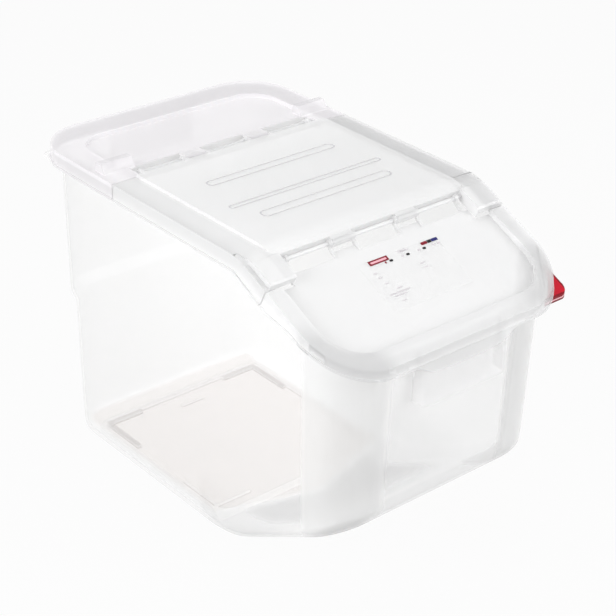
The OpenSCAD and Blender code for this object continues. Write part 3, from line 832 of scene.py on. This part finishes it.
# The left end, right end and place up the slope of each ruled line
RULES = (
    (7, 22, 137.5),
    (10, 25, 135.5),
    (-41, -35, 120.5),
    (-40, -34, 113),
    (-37, -32, 103.5),
    (-28, -20, 93),
    (-42, -12, 87.5),
    (-38, -20, 84),
    (-33, -27, 75.5),
    (24, 31, 112),
    (25, 32, 105.5),
)
RULE_HALF = 0.5
RULE_CORNER = 0.3
CORNER_SEGMENTS = 5


def label_marks():
    marks = list(PILL_AND_BARS)
    low, high = DOT_UP
    for i, (middle, half, ink_name) in enumerate(DOTS):
        corner = min(half, (high - low) / 2) * DOT_ROUNDNESS
        marks.append(Mark(f"dot_{i}", (middle - half, middle + half), DOT_UP, corner, ink_name, 0))
    for i, (left, right, middle) in enumerate(RULES):
        up = (middle - RULE_HALF, middle + RULE_HALF)
        marks.append(Mark(f"rule_{i}", (left, right), up, RULE_CORNER, "grey", 0))
    return marks


def on_slope(x, s, height):
    """A point on the sloping lid front: s runs up from the front edge, height stands square to it."""
    y = s - SLOPE_LENGTH
    return Vector(
        (
            x,
            BEND_Y + y * math.cos(SLOPE) - height * math.sin(SLOPE),
            LID_TOP + y * math.sin(SLOPE) + height * math.cos(SLOPE),
        )
    )


def ink_patch(mark, thick, material):
    """A thin patch of ink with round corners, lying on the label."""
    (left, right), (low, high) = mark.across, mark.up
    bpy.ops.object.select_all(action="DESELECT")
    bpy.ops.mesh.primitive_cube_add(size=1)
    patch = bpy.context.active_object
    patch.name = mark.name
    patch.scale = ((right - left) * MM, (high - low) * MM, thick)
    bpy.ops.object.transform_apply(location=False, rotation=False, scale=True)
    bpy.ops.object.mode_set(mode="EDIT")
    mesh = bmesh.from_edit_mesh(patch.data)
    for edge in mesh.edges:
        a, b = edge.verts
        edge.select = abs(a.co.z - b.co.z) > thick / 2
    mesh.select_flush_mode()
    bmesh.update_edit_mesh(patch.data)
    bpy.ops.mesh.select_mode(type="EDGE")
    bpy.ops.mesh.bevel(offset=mark.corner * MM, segments=CORNER_SEGMENTS, affect="EDGES")
    bpy.ops.object.mode_set(mode="OBJECT")
    patch.rotation_euler = (SLOPE, 0, 0)
    lift = LABEL_TOP + thick * (mark.level + 0.5)
    patch.location = on_slope((left + right) / 2 * MM, (low + high) / 2 * MM, lift)
    bpy.ops.object.transform_apply(location=True, rotation=True, scale=True)
    wear(patch, material)
    return patch


class RICEBIN_OT_label(bpy.types.Operator):
    """Dress the label film and print its plain bars, dots and ruled lines"""

    bl_idname = "ricebin.label"
    bl_label = "Label"

    def execute(self, context):
        sizes, colours = context.scene.ricebin_sizes, context.scene.ricebin_colours
        recolour("label", milky_plastic("Label Film", colours.film, colours.film_clear))
        inks = {
            "red": ink("Red Ink", colours.print_red, colours.print_worn),
            "blue": ink("Blue Ink", colours.print_blue, colours.print_worn),
            "black": ink("Black Ink", colours.print_black, colours.print_worn),
            "grey": ink("Grey Ink", colours.print_grey, colours.print_worn),
            "pink": ink("Pink Ink", colours.print_pink, colours.print_worn),
        }
        patches = [ink_patch(mark, sizes.print_height, inks[mark.ink]) for mark in label_marks()]
        pick(*patches)
        bpy.ops.object.join()
        printed = bpy.context.active_object
        printed.name = "label_print"
        printed.data.name = "label_print"
        finish_piece(printed, "flap", "label_film")
        return {"FINISHED"}


# ------------------------------------------------------------------ stage
FLOOR_SIZE = 60
FLOOR_GREY = (0.5, 0.5, 0.5, 1)
BRIGHT_WHITE = (1, 1, 1, 1)
# How white the floor looks where it is seen directly
FLOOR_GLOW = 0.95
# Each lamp's name, place, diameter and power setting; all point at the bin's middle
BIN_MIDDLE = (0, 0, 0.22)
LAMPS = (
    ("key_lamp", (-2.3, -0.2, 1.15), 1.6, "key"),
    ("top_lamp", (0.3, 0.5, 2.3), 1.8, "top"),
    ("front_lamp", (1.5, -2.2, 1.1), 1.8, "front"),
)
CAMERA_PLACE = (-1.2074, -1.4138, 1.2572)
CAMERA_TARGET = (0, -0.0191, 0.2493)
CAMERA_ROLL = 1.54
CAMERA_SHIFT = 0.0093


def aim(obj, place, target, roll=0.0):
    """Places a lamp or camera and points it at a target, rolled about its own view."""
    ahead = (Vector(target) - Vector(place)).normalized()
    right = ahead.cross(Vector((0, 0, 1))).normalized()
    up = right.cross(ahead)
    turn = math.radians(roll)
    across = right * math.cos(turn) + up * math.sin(turn)
    upward = up * math.cos(turn) - right * math.sin(turn)
    facing = Matrix((across, upward, -ahead)).transposed().to_4x4()
    obj.matrix_world = Matrix.Translation(place) @ facing


def lamp(name, place, diameter, energy):
    data = bpy.data.lights.new(name, "AREA")
    data.shape = "DISK"
    data.size = diameter
    data.energy = energy
    obj = bpy.data.objects.new(name, data)
    bpy.context.scene.collection.objects.link(obj)
    aim(obj, place, BIN_MIDDLE)


def seen_directly(tree):
    """1 for rays from the eye, from gloss and through glass, 0 for the light on the object."""
    path = node(tree, "ShaderNodeLightPath")
    rays = ("Is Camera Ray", "Is Glossy Ray", "Is Transmission Ray")
    return largest(tree, *(path.outputs[ray] for ray in rays))


def studio_floor():
    """A grey floor that looks white and keeps a soft shadow."""
    bpy.ops.object.select_all(action="DESELECT")
    bpy.ops.mesh.primitive_plane_add(size=FLOOR_SIZE)
    floor = bpy.context.active_object
    floor.name = "studio_floor"
    material = bpy.data.materials.new("Studio Floor")
    material.use_nodes = True
    tree = material.node_tree
    tree.nodes.clear()
    out = node(tree, "ShaderNodeOutputMaterial")
    matt = node(tree, "ShaderNodeBsdfDiffuse")
    matt.inputs["Color"].default_value = FLOOR_GREY
    glow = node(tree, "ShaderNodeEmission")
    glow.inputs["Color"].default_value = BRIGHT_WHITE
    blend = node(tree, "ShaderNodeMixShader")
    tree.links.new(times(tree, seen_directly(tree), FLOOR_GLOW), blend.inputs[0])
    tree.links.new(matt.outputs[0], blend.inputs[1])
    tree.links.new(glow.outputs[0], blend.inputs[2])
    tree.links.new(blend.outputs[0], out.inputs["Surface"])
    wear(floor, material)


def studio_world(room):
    """A white surrounding that lights the object only by the room's strength."""
    world = bpy.data.worlds.new("Studio")
    world.use_nodes = True
    tree = world.node_tree
    tree.nodes.clear()
    out = node(tree, "ShaderNodeOutputWorld")
    back = node(tree, "ShaderNodeBackground")
    back.inputs["Color"].default_value = BRIGHT_WHITE
    strength = spread(tree, seen_directly(tree), 0, 1, room, 1)
    tree.links.new(strength, back.inputs["Strength"])
    tree.links.new(back.outputs[0], out.inputs["Surface"])
    return world


def studio_camera(lens):
    data = bpy.data.cameras.new("camera")
    data.lens = lens
    data.shift_x = CAMERA_SHIFT
    camera = bpy.data.objects.new("camera", data)
    bpy.context.scene.collection.objects.link(camera)
    aim(camera, CAMERA_PLACE, CAMERA_TARGET, CAMERA_ROLL)
    return camera


class RICEBIN_OT_stage(bpy.types.Operator):
    """Set up the white floor, the soft lamps and the camera"""

    bl_idname = "ricebin.stage"
    bl_label = "Stage"

    def execute(self, context):
        scene, stage = context.scene, context.scene.ricebin_stage
        studio_floor()
        scene.world = studio_world(stage.room)
        for name, place, diameter, setting in LAMPS:
            lamp(name, place, diameter, getattr(stage, setting))
        scene.camera = studio_camera(stage.lens)
        scene.view_settings.view_transform = "Standard"
        return {"FINISHED"}


# ------------------------------------------------------------------ panel and registration
class RICEBIN_PT_panel(bpy.types.Panel):
    """Lists the pieces and their settings"""

    bl_idname = "RICEBIN_PT_panel"
    bl_label = "Rice Bin"
    bl_space_type = "VIEW_3D"
    bl_region_type = "UI"
    bl_category = "Rice Bin"

    def draw(self, context):
        for _, settings in GROUPS:
            group = getattr(context.scene, settings)
            box = self.layout.box()
            for key in group.__annotations__:
                box.prop(group, key)
        for operator in OPERATORS:
            self.layout.operator(operator.bl_idname)


OPERATORS = (
    RICEBIN_OT_tub,
    RICEBIN_OT_lid,
    RICEBIN_OT_rods,
    RICEBIN_OT_clip,
    RICEBIN_OT_label,
    RICEBIN_OT_stage,
)
GROUPS = (
    (RICEBIN_PG_sizes, "ricebin_sizes"),
    (RICEBIN_PG_colours, "ricebin_colours"),
    (RICEBIN_PG_stage, "ricebin_stage"),
)


def register():
    for group, key in GROUPS:
        bpy.utils.register_class(group)
        setattr(bpy.types.Scene, key, PointerProperty(type=group))
    for operator in OPERATORS:
        bpy.utils.register_class(operator)
    bpy.utils.register_class(RICEBIN_PT_panel)


def unregister():
    bpy.utils.unregister_class(RICEBIN_PT_panel)
    for operator in reversed(OPERATORS):
        bpy.utils.unregister_class(operator)
    for group, key in reversed(GROUPS):
        delattr(bpy.types.Scene, key)
        bpy.utils.unregister_class(group)


def main():
    register()
    bpy.ops.ricebin.tub()
    bpy.ops.ricebin.lid()
    bpy.ops.ricebin.rods()
    bpy.ops.ricebin.clip()
    bpy.ops.ricebin.label()
    bpy.ops.ricebin.stage()


if __name__ == "__main__":
    main()
